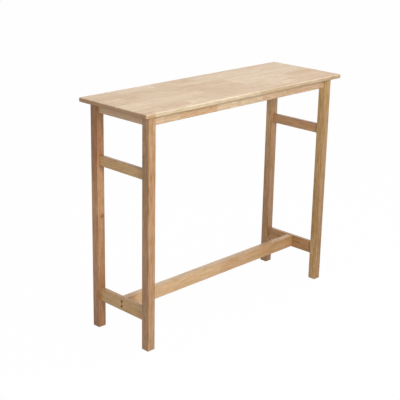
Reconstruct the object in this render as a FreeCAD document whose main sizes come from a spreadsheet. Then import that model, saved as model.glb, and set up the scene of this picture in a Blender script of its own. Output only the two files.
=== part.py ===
import FreeCAD, Part
import os
import re
import Sketcher

# Bar table in rubberwood: two glued end frames, long aprons, a stretcher and a panel top.
# Millimetres, +Z up, origin on the floor under the middle of the top, length along X.

doc = FreeCAD.newDocument("BarTable")
sheet = doc.addObject("Spreadsheet::Sheet", "Sizes")

driving_sizes = [
    ("tableHeight", "1000", "floor to the face of the top"),
    ("overrun", "1", "how far every cutter runs past the face it opens"),

    ("topLength", "1200", "top, along X"),
    ("topWidth", "400", "top, along Y"),
    ("topThick", "18", "thickness of the glued panel"),
    ("topCorner", "5", "rounding of the four upright corners"),
    ("topArris", "4", "rounding of the edges above and below"),

    ("legSide", "38", "square section of a leg"),
    ("legInsetEnd", "37", "end of the top to the outer face of a leg"),
    ("legInsetSide", "27", "long edge of the top to the outer face of a leg"),
    ("legArris", "2.5", "rounding of the four long edges of a leg"),
    ("footChamfer", "1.5", "bevel round the foot of a leg"),

    ("apronHigh", "41", "height of all four aprons"),
    ("railArris", "2", "rounding of the long edges of aprons, rails and stretcher"),
    ("longApronThick", "18", "front and back aprons"),
    ("longApronRecess", "10", "long apron behind the outer face of the legs"),
    ("endApronThick", "18", "end aprons"),
    ("endApronRecess", "10", "end apron behind the outer face of the legs"),

    ("upperRailZ", "721", "floor to the underside of an upper rail"),
    ("upperRailHigh", "43", "height of an upper rail"),
    ("upperRailThick", "18", "thickness of an upper rail"),
    ("upperRailRecess", "10", "upper rail behind the outer face of the legs"),

    ("lowerRailZ", "123", "floor to the underside of a lower rail"),
    ("lowerRailHigh", "58", "height of a lower rail"),
    ("lowerRailThick", "18", "thickness of a lower rail"),
    ("lowerRailRecess", "10", "lower rail behind the outer face of the legs"),

    ("stretcherHigh", "54", "height of the stretcher"),
    ("stretcherThick", "32", "thickness of the stretcher"),

    ("dowelWide", "8", "diameter of a beech dowel and of its hole"),
    ("dowelLong", "40", "length of a dowel"),
    ("dowelBevel", "1", "bevel at both ends of a dowel"),
    ("dowelEndGap", "1", "glue room past each end of a dowel"),
    ("dowelSpread", "25", "spacing of the two dowels in a joint"),

    ("boltWide", "6", "thread diameter of a connector bolt"),
    ("boltLong", "50", "connector bolt under its head"),
    ("boltHeadWide", "10", "diameter of its cap head"),
    ("boltHeadHigh", "5", "height of its cap head"),
    ("boltKeyWide", "4.6", "width over corners of the hex socket"),
    ("boltKeyDeep", "3", "depth of the hex socket"),
    ("boltHoleWide", "6.6", "clearance hole of the connector bolt"),
    ("boltHoleSpare", "3", "hole past the tip of the connector bolt"),
    ("boltBoreWide", "12", "counterbore round the cap head"),
    ("boltBoreDeep", "7", "depth of the counterbore"),
    ("boltSpread", "22", "spacing of the two stacked bolts"),
    ("barrelWide", "10", "diameter of a barrel nut"),
    ("barrelLong", "18", "length of a barrel nut"),
    ("barrelSetback", "30", "end of the stretcher to the axis of its barrel nuts"),

    ("plateReach", "40", "inner corner of the aprons to the bend of a corner plate"),
    ("plateFlange", "26", "length of a flange of a corner plate"),
    ("plateThick", "2", "sheet thickness of a corner plate"),
    ("plateHigh", "34", "height of a corner plate"),
    ("plateScrewSpread", "18", "spacing of the two screws in a flange"),
    ("hangerWide", "8", "thread diameter of a hanger bolt"),
    ("hangerLong", "58", "length of a hanger bolt"),
    ("hangerTail", "6", "hanger bolt beyond its nut"),
    ("hangerTip", "5", "length of the pointed end in the leg"),
    ("hangerHoleWide", "9", "hole for the hanger bolt in a corner plate"),
    ("washerWide", "16", "diameter of the washer"),
    ("washerThick", "1.6", "thickness of the washer"),
    ("nutWide", "15", "width over corners of the hex nut"),
    ("nutHigh", "6.5", "height of the hex nut"),

    ("screwWide", "4", "thread diameter of a wood screw"),
    ("screwHeadWide", "8", "diameter of its pan head"),
    ("screwCrownWide", "5", "diameter of the flat on the pan head"),
    ("screwHeadHigh", "2.5", "height of the pan head"),
    ("plateScrewLong", "16", "screw of a corner plate, under the head"),
    ("topScrewLong", "35", "screw of the top, under the head"),
    ("topScrewBoreWide", "9", "counterbore of a top screw"),
    ("topScrewBoreDeep", "18", "depth of that counterbore"),
    ("longScrewClear", "11", "corner plate to the first top screw in a long apron"),
    ("endScrewClear", "25", "corner plate to the top screw in an end apron"),
]
for row, (alias, value, note) in enumerate(driving_sizes, 1):
    sheet.set(f"A{row}", note)
    sheet.set(f"B{row}", value)
    sheet.setAlias(f"B{row}", alias)
doc.recompute()

alias_words = re.compile(r"\b(" + "|".join(alias for alias, _, _ in driving_sizes) + r")\b")


def bind(thing, prop, formula):
    """Ties one property to a formula in the aliases of the sheet."""
    thing.setExpression(prop, alias_words.sub(r"Sizes.\1", formula))


def place(thing, x, y, z, turn=None):
    """Puts an object at three formulas, turned about its own origin."""
    if turn:
        thing.Placement = FreeCAD.Placement(FreeCAD.Vector(), turn)
    for axis, formula in zip("xyz", (x, y, z)):
        bind(thing, f"Placement.Base.{axis}", formula)


def facing(x, y, z):
    """The turn that swings +Z to a direction."""
    return FreeCAD.Rotation(FreeCAD.Vector(0, 0, 1), FreeCAD.Vector(x, y, z))


# Formulas that several pieces share. The ones for X and Y are of the right and back side.
leg_top = "(tableHeight - topThick)"
leg_x = "(topLength / 2 - legInsetEnd - legSide / 2)"
leg_y = "(topWidth / 2 - legInsetSide - legSide / 2)"
leg_outer_x = "(topLength / 2 - legInsetEnd)"
leg_outer_y = "(topWidth / 2 - legInsetSide)"
end_gap = f"(2 * {leg_y} - legSide)"
side_gap = f"(2 * {leg_x} - legSide)"
joint_y = f"({leg_y} - legSide / 2)"
apron_z = f"({leg_top} - apronHigh / 2)"
long_apron_y = f"({leg_outer_y} - longApronRecess - longApronThick / 2)"
end_apron_x = f"({leg_outer_x} - endApronRecess - endApronThick / 2)"
upper_rail_x = f"({leg_outer_x} - upperRailRecess - upperRailThick / 2)"
upper_rail_z = "(upperRailZ + upperRailHigh / 2)"
lower_rail_x = f"({leg_outer_x} - lowerRailRecess - lowerRailThick / 2)"
lower_rail_z = "(lowerRailZ + lowerRailHigh / 2)"
stretcher_end = f"({lower_rail_x} - lowerRailThick / 2)"
corner_x = f"({end_apron_x} - endApronThick / 2)"
corner_y = f"({long_apron_y} - longApronThick / 2)"

ends = {"left": -1, "right": 1}
sides = {"front": -1, "back": 1}
blanks = {}
cutters = {}


def rectangle(body, role, wide, high):
    """A sketched rectangle centred on one of the body's origin planes."""
    sketch = body.newObject("Sketcher::SketchObject", "Outline")
    planes = {feature.Role: feature for feature in body.Origin.OriginFeatures}
    sketch.AttachmentSupport = [(planes[role], "")]
    sketch.MapMode = "FlatFace"
    corners = [FreeCAD.Vector(a, b, 0) for a, b in ((-1, -1), (1, -1), (1, 1), (-1, 1))]
    for count in range(4):
        sketch.addGeometry(Part.LineSegment(corners[count], corners[(count + 1) % 4]))
    for count in range(4):
        sketch.addConstraint(Sketcher.Constraint("Coincident", count, 2, (count + 1) % 4, 1))
    for count in (0, 2):
        sketch.addConstraint(Sketcher.Constraint("Horizontal", count))
        sketch.addConstraint(Sketcher.Constraint("Vertical", count + 1))
    sketch.addConstraint(Sketcher.Constraint("Symmetric", 0, 1, 1, 2, -1, 1))
    spans = (("wide", "DistanceX", 0, wide), ("high", "DistanceY", 1, high))
    for name, kind, line, formula in spans:
        index = sketch.addConstraint(Sketcher.Constraint(kind, line, 1, line, 2, 2))
        sketch.renameConstraint(index, name)
        bind(sketch, f"Constraints.{name}", formula)
    return sketch


parallel_share = 0.99


def edges_where(feature, test):
    """Names of the edges of a feature that pass a test."""
    return [f"Edge{i}" for i, edge in enumerate(feature.Shape.Edges, 1) if test(edge)]


def along(axis):
    """A test for edges that start off along one axis."""
    return lambda edge: abs(edge.tangentAt(edge.FirstParameter)[axis]) > parallel_share


def level_edge(edge):
    """A test for edges that lie flat."""
    return not along(2)(edge)


def foot_edge(edge):
    """A test for the flat edges round the lower end of a post."""
    return level_edge(edge) and edge.CenterOfMass.z < 0


def blank(label, role, wide, high, long, roundings):
    """A board or post: a rectangle padded both ways from its plane, with eased edges."""
    body = doc.addObject("PartDesign::Body", f"{label}_blank")
    sketch = rectangle(body, role, wide, high)
    pad = body.newObject("PartDesign::Pad", "Length")
    pad.Profile = sketch
    pad.SideType = "Symmetric"
    bind(pad, "Length", long)
    sketch.Visibility = False
    doc.recompute()
    last = pad
    for kind, size_name, formula, test in roundings:
        feature = body.newObject(f"PartDesign::{kind}", "Eased")
        feature.Base = (last, edges_where(last, test))
        bind(feature, size_name, formula)
        doc.recompute()
        last = feature
    body.Tip = last
    blanks[label] = body
    cutters[label] = []
    return body


def cutter(pieces, wide, long, x, y, z, direction):
    """A round cutter that starts at a point, runs along a direction and drills every piece named."""
    tool = doc.addObject("Part::Cylinder", "Cutter")
    bind(tool, "Radius", f"({wide}) / 2")
    bind(tool, "Height", long)
    place(tool, x, y, z, facing(*direction))
    for piece in pieces:
        cutters[piece].append(tool)


def group(label, solids):
    """Like pieces that share one node."""
    node = doc.addObject("Part::Compound", label)
    node.Links = solids
    node.Label = label
    nodes.append(node)


# The top is one glued panel.
top = blank("tabletop", "XY_Plane", "topLength", "topWidth", "topThick", [
    ("Fillet", "Radius", "topCorner", along(2)),
    ("Fillet", "Radius", "topArris", level_edge),
])
place(top, "0", "0", "tableHeight - topThick / 2")

# Four square legs reach from the floor to the underside of the top.
for side, back in sides.items():
    for end, right in ends.items():
        leg = blank(f"{side}_{end}_leg", "XY_Plane", "legSide", "legSide", leg_top, [
            ("Fillet", "Radius", "legArris", along(2)),
            ("Chamfer", "Size", "footChamfer", foot_edge),
        ])
        place(leg, f"{right} * {leg_x}", f"{back} * {leg_y}", f"{leg_top} / 2")

# Long aprons run along X between the legs, just under the top.
for side, back in sides.items():
    apron = blank(f"{side}_apron", "YZ_Plane", "longApronThick", "apronHigh", side_gap,
                  [("Fillet", "Radius", "railArris", along(0))])
    place(apron, "0", f"{back} * {long_apron_y}", apron_z)

# Every end frame has an apron and two rails along Y.
end_boards = {
    "end_apron": ("endApronThick", "apronHigh", end_apron_x, apron_z),
    "upper_rail": ("upperRailThick", "upperRailHigh", upper_rail_x, upper_rail_z),
    "lower_rail": ("lowerRailThick", "lowerRailHigh", lower_rail_x, lower_rail_z),
}
for end, right in ends.items():
    for name, (thick, high, x, z) in end_boards.items():
        board = blank(f"{end}_{name}", "XZ_Plane", thick, high, end_gap,
                      [("Fillet", "Radius", "railArris", along(1))])
        place(board, f"{right} * {x}", "0", z)

# One stretcher ties the two lower rails together, its underside level with theirs.
stretcher = blank("stretcher", "YZ_Plane", "stretcherThick", "stretcherHigh", f"2 * {stretcher_end}",
                  [("Fillet", "Radius", "railArris", along(0))])
place(stretcher, "0", "0", lower_rail_z)

nodes = []


def dowel(x, y, z):
    """A bevelled pin that starts at a point and runs along +Y."""
    pin = doc.addObject("Part::Cylinder", "Pin")
    bind(pin, "Radius", "dowelWide / 2")
    bind(pin, "Height", "dowelLong - 2 * dowelBevel")
    bind(pin, "Placement.Base.z", "dowelBevel")
    full, thin = "dowelWide / 2", "dowelWide / 2 - dowelBevel"
    tapers = []
    for foot, lower, upper in (("0", thin, full), ("dowelLong - dowelBevel", full, thin)):
        cone = doc.addObject("Part::Cone", "Taper")
        bind(cone, "Radius1", lower)
        bind(cone, "Radius2", upper)
        bind(cone, "Height", "dowelBevel")
        bind(cone, "Placement.Base.z", foot)
        tapers.append(cone)
    whole = doc.addObject("Part::MultiFuse", "Dowel")
    whole.Shapes = [pin] + tapers
    place(whole, x, y, z, facing(0, 1, 0))
    return whole


# Two dowels hold every end of every end board in its leg.
for end, right in ends.items():
    dowels = []
    for name, (thick, high, x, z) in end_boards.items():
        for side, back in sides.items():
            for level in (-1, 1):
                where = (f"{right} * {x}", f"{back} * {joint_y}", f"{z} + {level} * dowelSpread / 2")
                start = f"{where[1]} - dowelLong / 2"
                cutter([f"{side}_{end}_leg", f"{end}_{name}"], "dowelWide", "dowelLong + 2 * dowelEndGap",
                       where[0], f"{start} - dowelEndGap", where[2], (0, 1, 0))
                dowels.append(dowel(where[0], start, where[2]))
    group(f"{end}_frame_dowels", dowels)


def headed(label, wide, long, head_wide, crown_wide, head_high):
    """A shank that points along +Z from the seat of its head, with the head below the origin."""
    shank = doc.addObject("Part::Cylinder", f"{label}Shank")
    bind(shank, "Radius", f"({wide}) / 2")
    bind(shank, "Height", long)
    if head_wide == crown_wide:
        head = doc.addObject("Part::Cylinder", f"{label}Head")
        bind(head, "Radius", f"({head_wide}) / 2")
    else:
        head = doc.addObject("Part::Cone", f"{label}Head")
        bind(head, "Radius1", f"({crown_wide}) / 2")
        bind(head, "Radius2", f"({head_wide}) / 2")
    bind(head, "Height", head_high)
    bind(head, "Placement.Base.z", f"-({head_high})")
    whole = doc.addObject("Part::MultiFuse", label)
    whole.Shapes = [head, shank]
    return whole


# Two stacked cap bolts pass every lower rail into barrel nuts in the stretcher.
for end, right in ends.items():
    bolts = []
    barrels = []
    lower_rail = f"{end}_lower_rail"
    outer_face = f"{right} * ({lower_rail_x} + lowerRailThick / 2)"
    seat = f"{right} * ({lower_rail_x} + lowerRailThick / 2 - boltBoreDeep)"
    nut_x = f"{right} * ({stretcher_end} - barrelSetback)"
    for level in (-1, 1):
        height = f"{lower_rail_z} + {level} * boltSpread / 2"
        cutter([lower_rail], "boltBoreWide", "boltBoreDeep + overrun",
               f"{outer_face} + {right} * overrun", "0", height, (-right, 0, 0))
        cutter([lower_rail, "stretcher"], "boltHoleWide", "boltLong + boltHoleSpare",
               seat, "0", height, (-right, 0, 0))
        cutter(["stretcher"], "barrelWide", "(stretcherThick + barrelLong) / 2 + overrun",
               nut_x, "stretcherThick / 2 + overrun", height, (0, -1, 0))
        solid = headed("CapBolt", "boltWide", "boltLong", "boltHeadWide", "boltHeadWide", "boltHeadHigh")
        key = doc.addObject("Part::Prism", "KeySocket")
        key.Polygon = 6
        bind(key, "Circumradius", "boltKeyWide / 2")
        bind(key, "Height", "boltKeyDeep + overrun")
        bind(key, "Placement.Base.z", "-(boltHeadHigh + overrun)")
        bolt = doc.addObject("Part::Cut", "ConnectorBolt")
        bolt.Base = solid
        bolt.Tool = key
        place(bolt, seat, "0", height, facing(-right, 0, 0))
        bolts.append(bolt)
        rod = doc.addObject("Part::Cylinder", "BarrelRod")
        bind(rod, "Radius", "barrelWide / 2")
        bind(rod, "Height", "barrelLong")
        place(rod, nut_x, "-barrelLong / 2", height, facing(0, 1, 0))
        thread = doc.addObject("Part::Cylinder", "BarrelThread")
        bind(thread, "Radius", "boltWide / 2")
        bind(thread, "Height", "barrelWide + 2 * overrun")
        place(thread, f"{nut_x} - barrelWide / 2 - overrun", "0", height, facing(1, 0, 0))
        barrel = doc.addObject("Part::Cut", "BarrelNut")
        barrel.Base = rod
        barrel.Tool = thread
        barrels.append(barrel)
    group(f"{end}_stretcher_bolts", bolts)
    group(f"{end}_barrel_nuts", barrels)


def wood_screw(long, x, y, z, direction):
    """A pan-head screw whose head seats at a point."""
    screw = headed("WoodScrew", "screwWide", long, "screwHeadWide", "screwCrownWide", "screwHeadHigh")
    place(screw, x, y, z, facing(*direction))
    return screw


# A bent steel plate in every corner pulls the long apron and the end apron to the leg.
# Measures along the diagonal start at the inner corner where the two apron faces meet.
root_two = "sqrt(2)"
plate_seat = f"(plateReach / {root_two} + plateThick)"
bolt_start = f"({plate_seat} + washerThick + nutHigh + hangerTail - hangerLong)"


def corner_plate(label):
    """Profile of the plate in its own frame: the corner at the origin, the aprons along +X and +Y."""
    body = doc.addObject("PartDesign::Body", f"{label}_sheet")
    sketch = body.newObject("Sketcher::SketchObject", "Profile")
    planes = {feature.Role: feature for feature in body.Origin.OriginFeatures}
    sketch.AttachmentSupport = [(planes["XY_Plane"], "")]
    sketch.MapMode = "FlatFace"
    reach, flange, thick = (sheet.get(name) for name in ("plateReach", "plateFlange", "plateThick"))
    inner = thick * (2 ** 0.5 - 1)
    points = [
        (reach, 0), (reach + flange, 0), (reach + flange, thick), (reach + inner, thick),
        (thick, reach + inner), (thick, reach + flange), (0, reach + flange), (0, reach),
    ]
    vectors = [FreeCAD.Vector(a, b, 0) for a, b in points]
    total = len(vectors)
    for count in range(total):
        sketch.addGeometry(Part.LineSegment(vectors[count], vectors[(count + 1) % total]))
    for count in range(total):
        sketch.addConstraint(Sketcher.Constraint("Coincident", count, 2, (count + 1) % total, 1))
    formulas = {
        0: ("plateReach", "0"),
        1: ("plateReach + plateFlange", "0"),
        2: ("plateReach + plateFlange", "plateThick"),
        3: (f"plateReach + plateThick * ({root_two} - 1)", "plateThick"),
        4: ("plateThick", f"plateReach + plateThick * ({root_two} - 1)"),
        5: ("plateThick", "plateReach + plateFlange"),
        6: ("0", "plateReach + plateFlange"),
        7: ("0", "plateReach"),
    }
    for count, (x, y) in formulas.items():
        for axis, kind, formula in (("x", "DistanceX", x), ("y", "DistanceY", y)):
            if formula == "0":
                on_axis = -2 if axis == "x" else -1
                sketch.addConstraint(Sketcher.Constraint("PointOnObject", count, 1, on_axis))
                continue
            size = points[count]["xy".index(axis)]
            index = sketch.addConstraint(Sketcher.Constraint(kind, -1, 1, count, 1, size))
            sketch.renameConstraint(index, f"{axis}{count}")
            bind(sketch, f"Constraints.{axis}{count}", formula)
    pad = body.newObject("PartDesign::Pad", "Height")
    pad.Profile = sketch
    pad.SideType = "Symmetric"
    bind(pad, "Length", "plateHigh")
    body.Tip = pad
    return body


corner_turns = {("front", "left"): 0, ("front", "right"): 1, ("back", "right"): 2, ("back", "left"): 3}
hangers, washers, nuts, plate_screws = [], [], [], []
for (side, end), quarter in corner_turns.items():
    right, back = ends[end], sides[side]
    turn = FreeCAD.Rotation(FreeCAD.Vector(0, 0, 1), 90 * quarter)
    here = (f"{right} * {corner_x}", f"{back} * {corner_y}", apron_z)
    sheet_body = corner_plate(f"{side}_{end}")
    place(sheet_body, *here, turn)
    inward = (-right, -back, 0)

    def diagonal(distance):
        """The point at a distance from the inner corner, along the diagonal."""
        step = f"{distance} / {root_two}"
        return (f"{here[0]} - {right} * {step}", f"{here[1]} - {back} * {step}")

    holes = []
    bolt_hole = doc.addObject("Part::Cylinder", "PlateBoltHole")
    bind(bolt_hole, "Radius", "hangerHoleWide / 2")
    bind(bolt_hole, "Height", "plateThick + 2 * overrun")
    place(bolt_hole, *diagonal(f"({plate_seat} - plateThick - overrun)"), here[2], facing(*inward))
    holes.append(bolt_hole)

    # Screws in both flanges: one pair enters the long apron along Y, the other the end apron along X.
    flange_middle = "(plateReach + plateFlange / 2)"
    long_spot = (f"{here[0]} - {right} * {flange_middle}", f"{here[1]} - {back} * plateThick")
    end_spot = (f"{here[0]} - {right} * plateThick", f"{here[1]} - {back} * {flange_middle}")
    for piece, spot, heading in (
        (f"{side}_apron", long_spot, (0, back, 0)),
        (f"{end}_end_apron", end_spot, (right, 0, 0)),
    ):
        for level in (-1, 1):
            height = f"{apron_z} + {level} * plateScrewSpread / 2"
            cutter([piece], "screwWide", "plateScrewLong", *spot, height, heading)
            hole = doc.addObject("Part::Cylinder", "PlateScrewHole")
            bind(hole, "Radius", "screwWide / 2")
            bind(hole, "Height", "plateThick + 2 * overrun")
            lead = [f"{spot[0]} - {heading[0]} * overrun", f"{spot[1]} - {heading[1]} * overrun"]
            place(hole, *lead, height, facing(*heading))
            holes.append(hole)
            plate_screws.append(wood_screw("plateScrewLong", *spot, height, heading))
    tools = doc.addObject("Part::Compound", "PlateHoles")
    tools.Links = holes
    plate = doc.addObject("Part::Cut", f"{side}_{end}_corner_plate")
    plate.Base = sheet_body
    plate.Tool = tools
    plate.Label = f"{side}_{end}_corner_plate"
    nodes.append(plate)

    # The hanger bolt: its point in the leg, its nut and washer inside the plate.
    tip = doc.addObject("Part::Cone", "HangerTip")
    bind(tip, "Radius1", "0")
    bind(tip, "Radius2", "hangerWide / 2")
    bind(tip, "Height", "hangerTip")
    shank = doc.addObject("Part::Cylinder", "HangerShank")
    bind(shank, "Radius", "hangerWide / 2")
    bind(shank, "Height", "hangerLong - hangerTip")
    bind(shank, "Placement.Base.z", "hangerTip")
    hanger = doc.addObject("Part::MultiFuse", "HangerBolt")
    hanger.Shapes = [tip, shank]
    place(hanger, *diagonal(bolt_start), here[2], facing(*inward))
    hangers.append(hanger)
    # Its drill grazes the end of the long apron, whose face lies a little behind the edge of the leg.
    grazed = [f"{side}_{end}_leg", f"{side}_apron"]
    cutter(grazed, "hangerWide", "hangerLong", *diagonal(bolt_start), here[2], inward)

    for target, label, start, high in (
        (washers, "Washer", plate_seat, "washerThick"),
        (nuts, "HexNut", f"({plate_seat} + washerThick)", "nutHigh"),
    ):
        if label == "Washer":
            outer = doc.addObject("Part::Cylinder", "WasherDisc")
            bind(outer, "Radius", "washerWide / 2")
        else:
            outer = doc.addObject("Part::Prism", "NutPrism")
            outer.Polygon = 6
            bind(outer, "Circumradius", "nutWide / 2")
        bind(outer, "Height", high)
        thread = doc.addObject("Part::Cylinder", f"{label}Bore")
        bind(thread, "Radius", "hangerWide / 2")
        bind(thread, "Height", f"{high} + 2 * overrun")
        bind(thread, "Placement.Base.z", "-overrun")
        ring = doc.addObject("Part::Cut", label)
        ring.Base = outer
        ring.Tool = thread
        place(ring, *diagonal(start), here[2], facing(*inward))
        target.append(ring)

group("corner_hanger_bolts", hangers)
group("corner_washers", washers)
group("corner_nuts", nuts)
group("corner_plate_screws", plate_screws)

# Screws go up through counterbored aprons into the top.
long_screws, end_screws = [], []
long_screw_shares = (-1, -1 / 3, 1 / 3, 1)
end_screw_shares = (-1, 1)
long_screw_x = f"({corner_x} - plateReach - plateFlange - longScrewClear)"
end_screw_y = f"({corner_y} - plateReach - plateFlange - endScrewClear)"
head_seat = f"({leg_top} - apronHigh + topScrewBoreDeep)"
spots = [(f"{side}_apron", long_screws, f"{share} * {long_screw_x}", f"{back} * {long_apron_y}")
         for side, back in sides.items() for share in long_screw_shares]
spots += [(f"{end}_end_apron", end_screws, f"{right} * {end_apron_x}", f"{share} * {end_screw_y}")
          for end, right in ends.items() for share in end_screw_shares]
for piece, target, x, y in spots:
    mouth = f"{head_seat} - topScrewBoreDeep - overrun"
    cutter([piece], "topScrewBoreWide", "topScrewBoreDeep + overrun", x, y, mouth, (0, 0, 1))
    cutter([piece, "tabletop"], "screwWide", "topScrewLong", x, y, head_seat, (0, 0, 1))
    target.append(wood_screw("topScrewLong", x, y, head_seat, (0, 0, 1)))
group("long_apron_top_screws", long_screws)
group("end_apron_top_screws", end_screws)

# Drilling the wood.
for label, body in blanks.items():
    drill = doc.addObject("Part::Compound", f"{label}_holes")
    drill.Links = cutters[label]
    node = doc.addObject("Part::Cut", label)
    node.Base = body
    node.Tool = drill
    node.Label = label
    nodes.append(node)

doc.recompute()
faults = [thing.Label for thing in doc.Objects if {"Invalid", "Error"} & set(thing.State)]
faults += [node.Label for node in nodes if node.Shape.isNull() or not node.Shape.isValid()]
if faults:
    raise RuntimeError(f"these objects failed: {faults}")

os.makedirs("parts", exist_ok=True)
for node in nodes:
    node.Shape.exportStep(f"parts/{node.Label}.step")
    print(f"{node.Label}: {len(node.Shape.Solids)} solids, {node.Shape.Volume / 1000:.1f} cm3")
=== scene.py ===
import math

import bpy
from mathutils import Matrix, Vector

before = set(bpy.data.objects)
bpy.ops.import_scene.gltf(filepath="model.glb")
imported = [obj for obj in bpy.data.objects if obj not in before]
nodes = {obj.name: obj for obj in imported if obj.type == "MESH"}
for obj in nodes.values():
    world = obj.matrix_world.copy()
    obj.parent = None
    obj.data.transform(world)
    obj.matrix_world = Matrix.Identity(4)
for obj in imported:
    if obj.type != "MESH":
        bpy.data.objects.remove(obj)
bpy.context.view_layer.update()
print("frame loaded:", len(nodes), "nodes")


# Small helpers for node trees

def put(tree, socket, source):      # links a socket or sets its value
    if isinstance(source, bpy.types.NodeSocket):
        tree.links.new(source, socket)
    else:
        socket.default_value = source


def add(tree, kind, inputs=None, **settings):
    made = tree.nodes.new("ShaderNode" + kind)
    for name, value in settings.items():
        setattr(made, name, value)
    for key, source in (inputs or {}).items():
        put(tree, made.inputs[key], source)
    return made


def calc(tree, operation, first, second=0.0, clamp=False):
    made = add(tree, "Math", {0: first, 1: second}, operation=operation, use_clamp=clamp)
    return made.outputs[0]


def vectorCalc(tree, operation, first, second=(0.0, 0.0, 0.0)):
    made = add(tree, "VectorMath", {0: first, 1: second}, operation=operation)
    return made.outputs["Value" if operation in ("DOT_PRODUCT", "LENGTH") else "Vector"]


def separate(tree, vector):
    return add(tree, "SeparateXYZ", {0: vector}).outputs


def combine(tree, parts):      # parts by axis number; an axis left out is 0
    return add(tree, "CombineXYZ", parts).outputs[0]


def fade(tree, value, low, high, lowOut=0.0, highOut=1.0):
    made = add(tree, "MapRange", {"Value": value, "From Min": low, "From Max": high, "To Min": lowOut,
                                  "To Max": highOut}, interpolation_type="SMOOTHSTEP")
    return made.outputs[0]


def blendColours(tree, share, first, second):
    made = add(tree, "Mix", {0: share, 6: first, 7: second}, data_type="RGBA", clamp_factor=False)
    return made.outputs[2]


def shade(tree, colour, share, strength, saturation, value):      # mixes in a darker or lighter copy
    other = add(tree, "HueSaturation",
                {"Saturation": saturation, "Value": value, "Color": colour}).outputs[0]
    return blendColours(tree, calc(tree, "MULTIPLY", share, strength), colour, other)


def noise(tree, vector, scale, detail, roughness=0.5):
    scaled = vectorCalc(tree, "MULTIPLY", vector, scale)
    made = add(tree, "TexNoise", {"Vector": scaled, "Scale": 1.0, "Detail": detail, "Roughness": roughness})
    return made.outputs[0]


def whiteRays(tree):      # 1 for what the camera sees itself, in a gloss or through glass
    path = add(tree, "LightPath").outputs
    seen = calc(tree, "MAXIMUM", path["Is Camera Ray"], path["Is Glossy Ray"])
    return calc(tree, "MAXIMUM", seen, path["Is Transmission Ray"])


def newGroup(name, inputs, outputs):
    tree = bpy.data.node_groups.new(name, "ShaderNodeTree")
    for label, kind, value in inputs:
        socket = tree.interface.new_socket(label, in_out="INPUT", socket_type="NodeSocket" + kind)
        socket.default_value = value
    for label, kind in outputs:
        tree.interface.new_socket(label, in_out="OUTPUT", socket_type="NodeSocket" + kind)
    return tree, tree.nodes.new("NodeGroupInput").outputs, tree.nodes.new("NodeGroupOutput").inputs


def useGroup(tree, group, inputs):
    made = tree.nodes.new("ShaderNodeGroup")
    made.node_tree = group
    for key, source in inputs.items():
        put(tree, made.inputs[key], source)
    return made.outputs


def floats(*labels):
    return [(label, "Float") for label in labels]


# Grain: everything runs along the first axis of the vector

grainLook = dict(
    seedStep=(1.37, 0.83, 0.61), sway={1: 0.02, 2: 0.012}, pithRise=0.035, wobbleShare=9.0,
    noises={      # scale, detail and, where it isn't 0.5, roughness
        "Drift": ((2.6, 16, 16), 2), "Wobble": ((1.8, 9, 9), 2), "Streaks": ((11, 125, 125), 4, 0.6),
        "Mottle": ((26, 62, 62), 3, 0.6), "Lines": ((26, 400, 400), 3, 0.6),
        "Fibres": ((55, 1100, 1100), 3, 0.6), "Pores": ((110, 1500, 1500), 1)},
    masks={      # the range of the noise over which each one comes in
        "Streaks": (0.35, 0.68), "Mottle": (0.42, 0.68), "Lines": (0.48, 0.7), "Pores": (0.62, 0.7)},
    ringMask=(-0.4, 1.0))


def makeGrain(look):
    tree, given, result = newGroup(
        "grain",
        [("Vector", "Vector", (0, 0, 0)), ("Seed", "Float", 0.0), ("Ring Width", "Float", 0.001)],
        floats("Streaks", "Lines", "Fibres", "Rings", "Pores", "Drift", "Mottle"))
    noises = look["noises"]
    seeds = combine(tree, {axis: given["Seed"] for axis in range(3)})
    place = vectorCalc(tree, "ADD", given["Vector"], vectorCalc(tree, "MULTIPLY", seeds, look["seedStep"]))
    drift = noise(tree, place, *noises["Drift"])
    sway = {axis: calc(tree, "MULTIPLY", drift, share) for axis, share in look["sway"].items()}
    bent = vectorCalc(tree, "ADD", place, combine(tree, sway))
    for label, span in look["masks"].items():
        put(tree, result[label], fade(tree, noise(tree, bent, *noises[label]), *span))
    put(tree, result["Fibres"], noise(tree, bent, *noises["Fibres"]))
    put(tree, result["Drift"], drift)
    split = separate(tree, bent)
    pith = combine(tree, {1: split[1], 2: calc(tree, "ADD", split[2], look["pithRise"])})
    rings = calc(tree, "DIVIDE", vectorCalc(tree, "LENGTH", pith), given["Ring Width"])
    wobble = calc(tree, "MULTIPLY", noise(tree, place, *noises["Wobble"]), look["wobbleShare"])
    wave = calc(tree, "SINE", calc(tree, "ADD", rings, wobble))
    put(tree, result["Rings"], fade(tree, wave, *look["ringMask"]))
    return tree


# Knot: a small dark eye at a point, with a brown ring round it

knotLook = dict(ripple=((180, 180, 180), 2), rippleShare=0.7, stretch=(0.55, 1, 1),
                eye=(0.8, 1.35), halo=(1.2, 4.5))


def makeKnot(look):
    tree, given, result = newGroup(
        "knot",
        [("Vector", "Vector", (0, 0, 0)), ("Centre", "Vector", (0, 0, 0)), ("Radius", "Float", 0.005)],
        floats("Eye", "Halo"))
    ripple = calc(tree, "MULTIPLY", noise(tree, given["Vector"], *look["ripple"]), look["rippleShare"])
    away = vectorCalc(tree, "SUBTRACT", given["Vector"], given["Centre"])
    distance = vectorCalc(tree, "LENGTH", vectorCalc(tree, "MULTIPLY", away, look["stretch"]))
    reach = calc(tree, "ADD", calc(tree, "DIVIDE", distance, given["Radius"]), ripple)
    put(tree, result["Eye"], fade(tree, reach, *look["eye"], 1.0, 0.0))
    put(tree, result["Halo"], fade(tree, reach, *look["halo"], 1.0, 0.0))
    return tree


# Faces: which part of a piece is a rounded edge, which is end grain, which looks down and which faces the
# side axis; the rounded edges, the faces that look down and the side faces get painted light and shade in
# the timber

facesLook = dict(under=(-0.55, -0.08), edge=(0.74, 0.985), end=(0.45, 0.8))


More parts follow.
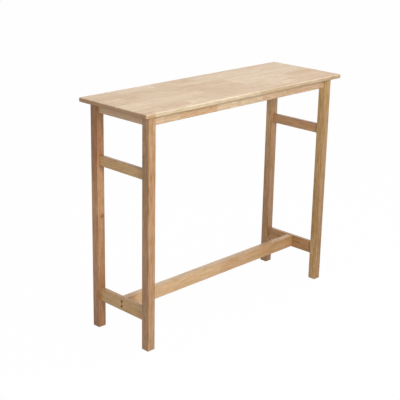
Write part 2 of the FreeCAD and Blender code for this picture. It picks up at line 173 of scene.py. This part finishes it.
def makeFaces(look):
    tree, given, result = newGroup(
        "faces", [("Axis", "Vector", (1, 0, 0)), ("Painted Side Axis", "Vector", (1, 0, 0))],
        floats("Edge", "End", "Painted Under Shade", "Side"))
    normal = add(tree, "NewGeometry").outputs["Normal"]
    # painted shade: faces that look down are darkened as if out of the light
    under = fade(tree, separate(tree, normal)[2], *look["under"], 1.0, 0.0)
    upright = vectorCalc(tree, "ABSOLUTE", normal)
    split = separate(tree, upright)
    largest = calc(tree, "MAXIMUM", calc(tree, "MAXIMUM", split[0], split[1]), split[2])
    # rounded edges: each piece's edge value paints a highlight on them above 1, shade below 1
    edge = fade(tree, largest, *look["edge"], 1.0, 0.0)
    alongAxis = calc(tree, "ABSOLUTE", vectorCalc(tree, "DOT_PRODUCT", normal, given["Axis"]))
    put(tree, result["Painted Under Shade"], under)
    put(tree, result["Side"], vectorCalc(tree, "DOT_PRODUCT", upright, given["Painted Side Axis"]))
    put(tree, result["Edge"], calc(tree, "SUBTRACT", edge, under, clamp=True))
    put(tree, result["End"], fade(tree, alongAxis, *look["end"]))
    return tree


# Timber: mixes the masks into one colour, a roughness and a height; it paints light and shade on the
# rounded edges and painted shade on faces that look down

timberLook = dict(
    grainShades={      # strength, saturation and value, as in the other shades
        "Mottle": (0.6, 1.12, 0.8), "Streaks": (1.0, 1.14, 0.78), "Rings": (0.5, 1.12, 0.84),
        "Lines": (0.9, 1.15, 0.74)},
    fibreValue=(0.3, 0.7, 0.94, 1.07), edgeShare=0.8, endShare=0.55,
    lineShades={"Pores": (0.45, 1.2, 0.45), "Seam": (0.32, 1.2, 0.5)},
    # on faces that look down the darkening is painted shade; end grain is darker wood
    faceShades={"End": (0.75, 1.35, 0.82), "Painted Under Shade": (0.8, 1.15, 0.58)},
    roughness=(0.25, 0.75, 0.34, 0.44), rougher={"Pores": 0.2, "End": 0.12, "Painted Under Shade": 0.4},
    fibreHeight=0.35, seamDepth=0.8)


def makeTimber(look):
    colours = [(label, "Color", (0.5, 0.5, 0.5, 1)) for label in ("Pale", "Deep", "Blush", "End Color")]
    values = [(label, "Float", 0.0) for label in (
        "Tone", "Hue", "Streaks", "Lines", "Fibres", "Rings", "Pores", "Seam", "Edge", "End", "Painted Under Shade",
        "Mottle", "Contrast", "Edge Value", "Edge Tint")]
    tree, given, result = newGroup(
        "timber", colours + values, [("Color", "Color")] + floats("Roughness", "Height"))
    colour = blendColours(tree, given["Tone"], given["Pale"], given["Deep"])
    colour = blendColours(tree, given["Hue"], colour, given["Blush"])
    for label, setting in look["grainShades"].items():
        share = calc(tree, "MULTIPLY", given[label], given["Contrast"])
        colour = shade(tree, colour, share, *setting)
    fibreValue = fade(tree, given["Fibres"], *look["fibreValue"])
    colour = add(tree, "HueSaturation", {"Value": fibreValue, "Color": colour}).outputs[0]
    # painted light along the rounded edges: a painted highlight where the edge value is above 1, painted
    # shade where below
    colour = shade(tree, colour, given["Edge"], look["edgeShare"], given["Edge Tint"], given["Edge Value"])
    for label, setting in look["lineShades"].items():
        colour = shade(tree, colour, given[label], *setting)
    endShare = calc(tree, "MULTIPLY", given["End"], look["endShare"])
    colour = blendColours(tree, endShare, colour, given["End Color"])
    # end grain darkens as wood does; faces that look down get painted shade
    for label, setting in look["faceShades"].items():
        colour = shade(tree, colour, given[label], *setting)
    rough = fade(tree, given["Fibres"], *look["roughness"])
    for label, more in look["rougher"].items():
        rough = calc(tree, "ADD", rough, calc(tree, "MULTIPLY", given[label], more))
    height = calc(tree, "MULTIPLY", given["Fibres"], look["fibreHeight"])
    height = calc(tree, "SUBTRACT", height, given["Pores"])
    height = calc(tree, "SUBTRACT", height, calc(tree, "MULTIPLY", given["Seam"], look["seamDepth"]))
    put(tree, result["Color"], colour)
    put(tree, result["Roughness"], rough)
    put(tree, result["Height"], height)
    return tree


grainGroup = makeGrain(grainLook)
knotGroup = makeKnot(knotLook)
facesGroup = makeFaces(facesLook)
timberGroup = makeTimber(timberLook)
print("node groups ready")


def srgb(red, green, blue):      # a colour in steps of 0 to 255, as linear light
    def linear(value):
        share = value / 255
        return share / 12.92 if share <= 0.04045 else ((share + 0.055) / 1.055) ** 2.4
    return (linear(red), linear(green), linear(blue), 1.0)


def newMaterial(name):
    made = bpy.data.materials.new(name)
    made.use_nodes = True
    tree = made.node_tree
    return made, tree, tree.nodes["Principled BSDF"]


def unitAxis(letter):
    return [float(letter == other) for other in "XYZ"]


def dress(names, made):
    for name in names:
        for slot in nodes[name].material_slots:
            slot.material = made


# What all pieces of wood share, where a piece doesn't say otherwise

axes = {"X": (0, 1, 2), "Y": (1, 0, 2), "Z": (2, 0, 1)}      # along the piece first

# the edge value of 0.76 paints shade along the rounded edges of every piece that keeps it
woodBasics = dict(
    side="X", change="CONSTANT", toneStart=0.0, paintedSideLight=0.0, driftRange=(0.3, 0.7), ringWidth=0.0012,
    toneSeed=5.0, rowSeed=1.7, jointHalf=0.0004, jointStep=(0.02, 0.08), rowGap=(0.0002, 0.0007),
    edge=0.76, edgeTint=1.05, knots=(), knotHalo=(0.6, 1.2, 0.72), knotEye=(84, 58, 40), knotEyeShare=0.8,
    bump=0.35, bumpDepth=0.0004, refraction=1.5, specular=0.4, coat=0.2, coatRoughness=0.2)


# Where a piece starts and ends along its grain

def grainSpan(look):
    axis = axes[look["along"]][0]
    ends = [corner[axis] for name in look["nodes"] for corner in nodes[name].bound_box]
    return min(ends), max(ends)


def spanShare(tree, along, look):
    low, high = look["span"]
    return add(tree, "MapRange", {"Value": along, "From Min": low, "From Max": high}).outputs[0]


# Tone in red and blush in green, for lengths that start at listed joints

def toneStrip(tree, share, look, sections):
    low, high = look["span"]
    ramp = add(tree, "ValToRGB", {0: share})
    ramp.color_ramp.interpolation = look["change"]
    stops = ramp.color_ramp.elements
    while len(stops) < len(sections):
        stops.new(0.5)      # any place will do, it is set below
    if len(stops) > len(sections):
        stops.remove(stops[-1])
    for stop, (start, tone, blush) in zip(stops, sections):
        stop.position = (start - low) / (high - low)
        stop.color = (tone, blush, 0.0, 1.0)
    return ramp.outputs[0]


# Tone, blush and seam of one board made of lengths; a seam is where the tones on its two sides differ

def boardTones(tree, place, look):
    along = separate(tree, place)[0]
    parts = []
    for nudge in (-look["jointHalf"], look["jointHalf"]):
        share = spanShare(tree, calc(tree, "ADD", along, nudge), look)
        strip = toneStrip(tree, share, look, look["sections"])
        parts.append(add(tree, "SeparateColor", {0: strip}).outputs)
    step = calc(tree, "ABSOLUTE", calc(tree, "SUBTRACT", parts[0][0], parts[1][0]))
    return parts[0][0], parts[0][1], fade(tree, step, *look["jointStep"])


# The same for a panel: staves side by side, each made of lengths, with seams between the rows

def rowTones(tree, place, look):
    split = separate(tree, place)
    share = spanShare(tree, split[0], look)
    across = calc(tree, "SUBTRACT", look["firstEdge"], split[1])
    mixed = toneStrip(tree, share, look, look["rows"][0])
    for count, sections in enumerate(look["rows"][1:]):
        passed = calc(tree, "GREATER_THAN", across, count * look["rowWidth"])
        mixed = blendColours(tree, passed, mixed, toneStrip(tree, share, look, sections))
    parts = add(tree, "SeparateColor", {0: mixed}).outputs
    gap = calc(tree, "PINGPONG", across, look["rowWidth"] / 2)
    row = calc(tree, "FLOOR", calc(tree, "DIVIDE", across, look["rowWidth"]))
    return parts[0], parts[1], fade(tree, gap, *look["rowGap"], 1.0, 0.0), row


# One piece of wood: its own grain, tone and joints

def woodPiece(piece):
    look = {**woodBasics, **piece}
    look["span"] = grainSpan(look)
    made, tree, shader = newMaterial(look["name"] + "Wood")
    seen = add(tree, "TexCoord").outputs["Object"]
    split = separate(tree, seen)
    place = combine(tree, {count: split[axis] for count, axis in enumerate(axes[look["along"]])})
    faces = useGroup(tree, facesGroup, {
        "Axis": unitAxis(look["along"]), "Painted Side Axis": unitAxis(look["side"])})
    seed = look["seed"]
    if "rows" in look:
        tone, blush, seam, row = rowTones(tree, place, look)
        mark = calc(tree, "MULTIPLY", tone, look["toneSeed"])
        mark = calc(tree, "ADD", mark, calc(tree, "MULTIPLY", row, look["rowSeed"]))
        seed = calc(tree, "ADD", mark, seed)
    else:
        tone, blush, seam = boardTones(tree, place, look)
        if look["change"] == "CONSTANT":
            seed = calc(tree, "ADD", calc(tree, "MULTIPLY", tone, look["toneSeed"]), seed)
    grain = useGroup(tree, grainGroup, {"Vector": place, "Seed": seed, "Ring Width": look["ringWidth"]})
    drift = fade(tree, grain["Drift"], *look["driftRange"], -look["drift"], look["drift"])
    tone = calc(tree, "ADD", calc(tree, "MULTIPLY", tone, look["toneSpread"]), look["toneStart"])
    # painted light and shade: faces across the side axis are toned paler or deeper for how the lamps fall
    # on them
    tone = calc(tree, "ADD", tone, calc(tree, "MULTIPLY", faces["Side"], look["paintedSideLight"]))
    tone = calc(tree, "ADD", tone, drift)
    masks = {label: grain[label] for label in ("Streaks", "Mottle", "Lines", "Fibres", "Rings", "Pores")}
    masks.update({label: faces[label] for label in ("Edge", "End", "Painted Under Shade")})
    timber = useGroup(tree, timberGroup, {
        "Pale": srgb(*look["pale"]), "Deep": srgb(*look["deep"]), "Blush": srgb(*look["blush"]),
        "End Color": srgb(*look.get("end", look["deep"])), "Tone": tone,
        "Hue": calc(tree, "MULTIPLY", blush, look["blushSpread"]), "Seam": seam,
        "Contrast": look["contrast"], "Edge Value": look["edge"], "Edge Tint": look["edgeTint"], **masks})
    colour = timber["Color"]
    for centre, radius in look["knots"]:
        knot = useGroup(tree, knotGroup, {"Vector": seen, "Centre": centre, "Radius": radius})
        colour = shade(tree, colour, knot["Halo"], *look["knotHalo"])
        eye = calc(tree, "MULTIPLY", knot["Eye"], look["knotEyeShare"])
        colour = blendColours(tree, eye, colour, srgb(*look["knotEye"]))
    bump = add(tree, "Bump", {
        "Height": timber["Height"], "Strength": look["bump"], "Distance": look["bumpDepth"]})
    put(tree, shader.inputs["Base Color"], colour)
    put(tree, shader.inputs["Roughness"], timber["Roughness"])
    put(tree, shader.inputs["Normal"], bump.outputs[0])
    put(tree, shader.inputs["IOR"], look["refraction"])
    put(tree, shader.inputs["Specular IOR Level"], look["specular"])
    put(tree, shader.inputs["Coat Weight"], look["coat"])
    put(tree, shader.inputs["Coat Roughness"], look["coatRoughness"])
    dress(look["nodes"], made)
    print("dressed", look["name"])


# The top: nine rows of glued staves, back to front; start of each length, its tone and its blush. The deep
# tones at the right end of the front rows are partly painted reflection: they darken the wood where the
# gloss of the lamps ends

tabletop = dict(
    name="tabletop", nodes=["tabletop"], along="X", side="Y", seed=4.0, firstEdge=0.18, rowWidth=0.05,
    rows=(
        ((-0.6, 0.1, 0.0), (-0.22, 0.6, 0.2), (-0.11, 0.9, 0.4), (-0.01, 0.5, 0.3), (0.3, 0.3, 0.4)),
        ((-0.6, 0.4, 0.6), (-0.44, 0.2, 0.1), (-0.24, 0.6, 0.3), (-0.12, 0.9, 0.4), (-0.01, 0.3, 0.1),
         (0.28, 0.3, 0.4)),
        ((-0.6, 0.5, 0.5), (-0.44, 0.5, 0.3), (-0.24, 0.7, 0.4), (-0.15, 0.5, 0.2), (0.11, 0.2, 0.5),
         (0.38, 0.4, 0.4)),
        ((-0.6, 0.2, 0.0), (-0.495, 0.8, 0.4), (-0.42, 0.3, 0.3), (-0.26, 0.6, 0.4), (0.09, 0.1, 0.1),
         (0.31, 0.2, 0.4)),
        ((-0.6, 0.3, 0.4), (-0.41, 0.5, 0.4), (-0.2, 0.8, 0.6), (-0.14, 0.7, 0.2), (0.09, 0.1, 0.2),
         (0.36, 0.4, 0.1)),
        ((-0.6, 0.2, 0.1), (-0.37, 0.2, 0.0), (-0.159, 0.9, 0.6), (-0.04, 0.6, 0.8), (0.1, 0.2, 0.1),
         (0.4, 0.8, 0.1)),
        ((-0.6, 0.2, 0.0), (-0.235, 0.7, 0.8), (0.07, 0.4, 0.5), (0.2, 0.2, 0.1), (0.34, 0.6, 0.1)),
        ((-0.6, 0.2, 0.0), (-0.48, 0.5, 0.5), (-0.33, 0.2, 0.0), (-0.24, 0.5, 0.5), (0.19, 0.1, 0.0),
         (0.33, 0.6, 0.1), (0.52, 0.8, 0.3)),
        ((-0.6, 0.9, 0.5), (-0.555, 0.3, 0.1), (-0.32, 0.3, 0.1), (0.04, 0.5, 0.3), (0.26, 0.6, 0.1),
         (0.5, 0.8, 0.1))),
    pale=(215, 195, 165), deep=(180, 140, 90), blush=(190, 160, 125), end=(205, 175, 155),
    # the side tone paints the front and back faces of the top paler, as painted light
    toneStart=0.3, toneSpread=0.75, paintedSideLight=-0.5, blushSpread=0.8, drift=0.18, contrast=0.75,
    # a painted highlight, pale and grey, along the rounded upper edges of the top
    edge=1.5, edgeTint=0.4, coat=0.12)
woodPiece(tabletop)


# Aprons, rails and stretcher; the side tone paints shade on the tops and bottoms of the end aprons and
# rails, and light on those of the stretcher

frontApron = dict(
    name="frontApron", nodes=["front_apron"], along="X", seed=7.3,
    sections=((-0.53, 0.35, 0.3), (-0.388, 0.8, 0.1), (-0.18, 0.14, 0.0), (0.099, 0.3, 0.3),
              (0.257, 0.5, 0.6)),
    pale=(225, 200, 170), deep=(205, 165, 125), blush=(220, 185, 155),
    toneSpread=0.9, blushSpread=0.7, drift=0.14, contrast=0.85)
woodPiece(frontApron)

backApron = dict(
    frontApron, name="backApron", nodes=["back_apron"], seed=11.9,
    sections=((-0.53, 0.5, 0.2), (-0.29, 0.2, 0.5), (0.02, 0.6, 0.3), (0.31, 0.3, 0.1)))
woodPiece(backApron)

leftEndApron = dict(
    name="leftEndApron", nodes=["left_end_apron"], along="Y", side="Z", seed=2.4,
    sections=((-0.14, 0.4, 0.2),), paintedSideLight=0.2,
    pale=(245, 215, 180), deep=(215, 175, 135), blush=(230, 185, 150),
    toneSpread=0.8, blushSpread=0.5, drift=0.15, contrast=0.6, coat=0.1)
woodPiece(leftEndApron)

rightEndApron = dict(leftEndApron, name="rightEndApron", nodes=["right_end_apron"], seed=5.7)
woodPiece(rightEndApron)

leftUpperRail = dict(
    leftEndApron, name="leftUpperRail", nodes=["left_upper_rail"], seed=8.8, paintedSideLight=0.4,
    pale=(230, 195, 145), deep=(200, 155, 110), blush=(210, 165, 125))
woodPiece(leftUpperRail)

rightUpperRail = dict(
    leftEndApron, name="rightUpperRail", nodes=["right_upper_rail"], seed=13.1,
    pale=(200, 160, 120), deep=(175, 130, 100), blush=(185, 135, 105))
woodPiece(rightUpperRail)

leftLowerRail = dict(
    leftEndApron, name="leftLowerRail", nodes=["left_lower_rail"], seed=21.6,
    pale=(215, 180, 130), deep=(185, 140, 100), blush=(200, 150, 115))
woodPiece(leftLowerRail)

rightLowerRail = dict(
    leftEndApron, name="rightLowerRail", nodes=["right_lower_rail"], seed=17.2, contrast=0.9,
    pale=(200, 160, 120), deep=(170, 125, 85), blush=(185, 135, 100))
woodPiece(rightLowerRail)

stretcher = dict(
    name="stretcher", nodes=["stretcher"], along="X", side="Z", seed=31.0,
    change="EASE", paintedSideLight=-0.15,
    sections=((-0.53, 0.2, 0.8), (-0.36, 0.15, 0.3), (0.02, 0.35, 0.25), (0.035, 0.6, 0.2),
              (0.4, 0.9, 0.1)),
    pale=(230, 200, 160), deep=(180, 135, 90), blush=(225, 180, 140),
    toneSpread=0.9, blushSpread=0.7, drift=0.14, contrast=0.6, coat=0.1)
woodPiece(stretcher)


# Legs: solid, with a slow change of tone up each one; the side tone paints their left and right faces paler
# or deeper for the light

frontLeftLeg = dict(
    name="frontLeftLeg", nodes=["front_left_leg"], along="Z", seed=41.5, change="EASE",
    sections=((0.0, 0.3, 0.35), (0.2, 0.5, 0.5), (0.45, 0.25, 0.5), (0.75, 0.4, 0.4), (0.95, 0.05, 0.1)),
    paintedSideLight=0.25, pale=(205, 170, 135), deep=(165, 125, 85), blush=(190, 145, 115),
    toneSpread=0.9, blushSpread=0.7, drift=0.16, contrast=1.0, knots=(((-0.563, -0.145, 0.82), 0.003),))
woodPiece(frontLeftLeg)

backLeftLeg = dict(
    frontLeftLeg, name="backLeftLeg", nodes=["back_left_leg"], seed=47.7,
    sections=((0.0, 0.8, 0.4), (0.3, 0.25, 0.45), (0.46, 0.3, 0.4), (0.55, 0.0, 0.0), (0.66, 0.05, 0.0),
              (0.8, 0.7, 0.4), (0.95, 0.45, 0.3)),
    paintedSideLight=0.4, pale=(220, 175, 135), deep=(170, 120, 85), blush=(195, 145, 110),
    knots=(((-0.539, 0.135, 0.5), 0.0042),))
woodPiece(backLeftLeg)

frontRightLeg = dict(
    frontLeftLeg, name="frontRightLeg", nodes=["front_right_leg"], seed=53.2,
    sections=((0.0, 0.6, 0.0), (0.4, 0.6, 0.1), (0.85, 0.35, 0.1), (0.95, 0.0, 0.0)),
    paintedSideLight=-0.3, pale=(200, 165, 120), deep=(155, 115, 80), blush=(175, 135, 100),
    knots=(((0.525, -0.136, 0.695), 0.0026),))
woodPiece(frontRightLeg)

backRightLeg = dict(
    frontLeftLeg, name="backRightLeg", nodes=["back_right_leg"], seed=59.9,
    sections=((0.0, 0.8, 0.4), (0.4, 0.85, 0.4), (0.65, 0.4, 0.3), (0.8, 0.1, 0.2), (0.92, 0.45, 0.4)),
    paintedSideLight=-0.15, pale=(205, 170, 130), deep=(165, 125, 90), blush=(185, 145, 115), knots=())
woodPiece(backRightLeg)


# Dowels

dowels = dict(
    name="dowel", nodes=["left_frame_dowels", "right_frame_dowels"], along="Y", seed=3.3,
    sections=((-0.2, 0.3, 0.2),), pale=(215, 185, 140), deep=(190, 150, 110), blush=(205, 165, 130),
    toneSpread=0.6, blushSpread=0.4, drift=0.1, contrast=0.4)
woodPiece(dowels)


# Steel fasteners and corner plates: dark bolts, and zinc on the rest

boltSteel = dict(
    name="bolt", nodes=["left_stretcher_bolts", "right_stretcher_bolts"],
    dark=(56, 44, 34), bright=(92, 76, 60), smooth=0.42, rough=0.6,
    clouds=((90, 90, 90), 4), cloudShare=0.6, scratches=((900, 900, 60), 2), scratchShare=0.4,
    colourRange=(0.35, 0.65), roughRange=(0.3, 0.7), bump=0.2, bumpDepth=0.0002)

zincWords = ("corner", "barrel", "top_screws")
zincSteel = dict(
    boltSteel, name="zinc", nodes=[name for name in nodes if any(word in name for word in zincWords)],
    dark=(150, 150, 148), bright=(196, 196, 192), smooth=0.3, rough=0.48)


def steel(look):
    made, tree, shader = newMaterial(look["name"] + "Steel")
    seen = add(tree, "TexCoord").outputs["Object"]
    cloud = noise(tree, seen, *look["clouds"])
    scratch = noise(tree, seen, *look["scratches"])
    wear = calc(tree, "ADD", calc(tree, "MULTIPLY", cloud, look["cloudShare"]),
                calc(tree, "MULTIPLY", scratch, look["scratchShare"]))
    colour = blendColours(
        tree, fade(tree, wear, *look["colourRange"]), srgb(*look["dark"]), srgb(*look["bright"]))
    bump = add(tree, "Bump", {"Height": scratch, "Strength": look["bump"], "Distance": look["bumpDepth"]})
    put(tree, shader.inputs["Base Color"], colour)
    put(tree, shader.inputs["Roughness"],
        fade(tree, wear, *look["roughRange"], look["smooth"], look["rough"]))
    put(tree, shader.inputs["Normal"], bump.outputs[0])
    put(tree, shader.inputs["Metallic"], 1.0)
    dress(look["nodes"], made)
    print("dressed", look["name"])


steel(boltSteel)
steel(zincSteel)


# Floor: pale in the light and nearly white for the white rays, with the shadow of the table

floorLook = dict(size=40.0, colour=(228, 227, 224), roughness=0.9, specular=0.1, whiteShare=0.985)


def makeFloor(look):
    half = look["size"] / 2
    mesh = bpy.data.meshes.new("floor")
    corners = [(-half, -half, 0), (half, -half, 0), (half, half, 0), (-half, half, 0)]
    mesh.from_pydata(corners, [], [(0, 1, 2, 3)])
    floor = bpy.data.objects.new("floor", mesh)
    bpy.context.scene.collection.objects.link(floor)
    made, tree, shader = newMaterial("paleFloor")
    put(tree, shader.inputs["Base Color"], srgb(*look["colour"]))
    put(tree, shader.inputs["Roughness"], look["roughness"])
    put(tree, shader.inputs["Specular IOR Level"], look["specular"])
    glow = add(tree, "Emission", {"Color": (1, 1, 1, 1), "Strength": 1.0})
    share = calc(tree, "MULTIPLY", whiteRays(tree), look["whiteShare"])
    both = add(tree, "MixShader", {0: share, 1: shader.outputs[0], 2: glow.outputs[0]})
    put(tree, tree.nodes["Material Output"].inputs["Surface"], both.outputs[0])
    mesh.materials.append(made)
    print("floor made")


makeFloor(floorLook)


# Studio light: four soft lamps in an even room that the white rays see as white

lightLook = dict(
    room=(1.0, 0.965, 0.92), roomStrength=0.39,
    lamps=(
        dict(name="key", spot=(-0.9, -2.5, 1.9), aim=(-0.1, 0, 0.65), size=0.9, power=51,
             colour=(1.0, 0.99, 0.975), glossy=False),
        dict(name="above", spot=(0.2, -0.2, 3.6), aim=(0, 0, 1), size=2.0, power=41,
             colour=(1.0, 0.985, 0.96), glossy=True),
        dict(name="right", spot=(3.3, -0.9, 2.9), aim=(0, 0, 1), size=1.0, power=20,
             colour=(1.0, 1.0, 0.98), glossy=True),
        dict(name="backdrop", spot=(4.2, 3.9, 2.1), aim=(0.2, 0.1, 1), size=3.2, power=18,
             colour=(1.0, 1.0, 1.0), glossy=True)))


def makeRoom(look):
    world = bpy.data.worlds.new("studio")
    bpy.context.scene.world = world
    world.use_nodes = True
    tree = world.node_tree
    room = tree.nodes["Background"]
    put(tree, room.inputs["Color"], (*look["room"], 1))
    put(tree, room.inputs["Strength"], look["roomStrength"])
    white = add(tree, "Background", {"Color": (1, 1, 1, 1), "Strength": 1.0})
    mix = add(tree, "MixShader", {0: whiteRays(tree), 1: room.outputs[0], 2: white.outputs[0]})
    put(tree, tree.nodes["World Output"].inputs["Surface"], mix.outputs[0])


def makeLamp(look):
    data = bpy.data.lights.new(look["name"], "AREA")
    data.size = look["size"]
    data.energy = look["power"]
    data.color = look["colour"]
    lamp = bpy.data.objects.new(look["name"], data)
    sight = Vector(look["aim"]) - Vector(look["spot"])
    lamp.location = look["spot"]
    lamp.rotation_euler = sight.to_track_quat("-Z", "Y").to_euler()
    lamp.visible_camera = False
    lamp.visible_glossy = look["glossy"]
    bpy.context.scene.collection.objects.link(lamp)


makeRoom(lightLook)
for lampLook in lightLook["lamps"]:
    makeLamp(lampLook)
print("lights set")


# Camera: stands at the front left and looks down a little

cameraLook = dict(
    spot=(-2.9875, -2.8078, 1.8657), azimuth=-45.785, elevation=17.508, roll=1.14,
    lens=87.86, sensor=36.0, shift=-0.05)


def makeCamera(look):
    data = bpy.data.cameras.new("camera")
    data.sensor_width = look["sensor"]
    data.lens = look["lens"]
    data.shift_y = look["shift"]
    camera = bpy.data.objects.new("camera", data)
    turn = math.radians(look["azimuth"])
    rise = math.radians(look["elevation"])
    back = Vector((math.sin(turn) * math.cos(rise), -math.cos(turn) * math.cos(rise), math.sin(rise)))
    level = (-back).to_track_quat("-Z", "Y").to_matrix().to_4x4()
    roll = Matrix.Rotation(math.radians(look["roll"]), 4, "Z")
    camera.matrix_world = Matrix.Translation(look["spot"]) @ level @ roll
    bpy.context.scene.collection.objects.link(camera)
    bpy.context.scene.camera = camera
    print("camera set")


makeCamera(cameraLook)

bpy.context.scene.view_settings.view_transform = "Standard"
